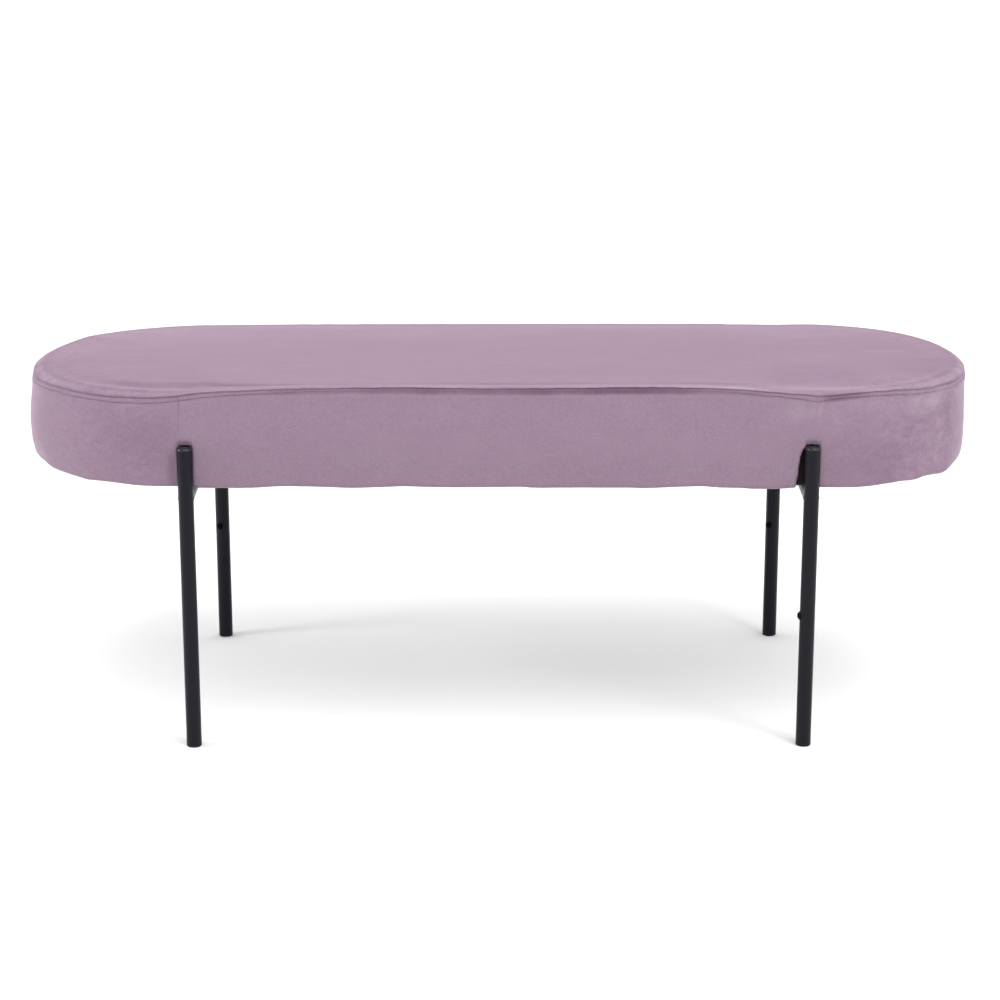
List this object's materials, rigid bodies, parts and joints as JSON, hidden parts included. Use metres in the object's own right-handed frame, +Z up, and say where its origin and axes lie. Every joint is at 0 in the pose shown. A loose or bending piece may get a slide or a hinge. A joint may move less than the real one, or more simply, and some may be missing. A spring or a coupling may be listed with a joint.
{
  "type": "upholstered bench ottoman",
  "caption": "Long upholstered bench ottoman with round ends: padded velvet seat with a seamed band, on straight round metal legs with plastic foot caps.",
  "frame": {"origin": "on the floor, at the centre of the footprint of the bench", "axes": "+X along the length of the seat to the right as seen from the front, +Y from front to back, +Z up"},
  "size_m": [1.1998, 0.441, 0.4575],
  "materials": {
    "plywood": "raw birch plywood",
    "foam": "open cell upholstery foam",
    "wadding": "bonded polyester wadding",
    "velvet_top": "short pile velvet, dusty lilac",
    "velvet_band": "short pile velvet, dusty lilac",
    "dust_cloth": "spun bonded cloth, black",
    "staple_wire": "galvanised wire",
    "zinc_steel": "zinc plated",
    "black_coat": "satin black powder coat",
    "black_plastic": "satin black",
    "foot_plastic": "matt black",
    "black_steel": "black oxide"
  },
  "bodies": {
    "root": {"seat_board": "plywood", "foam_block": "foam", "fibre_wrap": "wadding", "cover_top_panel": "velvet_top", "cover_band_front": "velvet_band", "cover_band_rear": "velvet_band", "cover_band_left": "velvet_band", "cover_band_right": "velvet_band", "dust_cover": "dust_cloth", "hem_staples": "staple_wire", "dust_cover_staples": "staple_wire", "t_nuts": "zinc_steel", "frame_bolts": "zinc_steel", "frame_washers": "zinc_steel", "front_left_leg": "black_coat", "front_right_leg": "black_coat", "rear_left_leg": "black_coat", "rear_right_leg": "black_coat", "left_cross_tube": "black_coat", "right_cross_tube": "black_coat", "left_front_tab_inner": "black_coat", "left_front_tab_outer": "black_coat", "left_rear_tab_inner": "black_coat", "left_rear_tab_outer": "black_coat", "right_front_tab_inner": "black_coat", "right_front_tab_outer": "black_coat", "right_rear_tab_inner": "black_coat", "right_rear_tab_outer": "black_coat", "left_weld_beads": "black_coat", "right_weld_beads": "black_coat", "front_left_top_cap": "black_plastic", "front_right_top_cap": "black_plastic", "rear_left_top_cap": "black_plastic", "rear_right_top_cap": "black_plastic", "front_left_foot_cap": "foot_plastic", "front_right_foot_cap": "foot_plastic", "rear_left_foot_cap": "foot_plastic", "rear_right_foot_cap": "foot_plastic", "leg_screws": "black_steel", "leg_screw_inserts": "black_steel"}
  },
  "joints": []
}
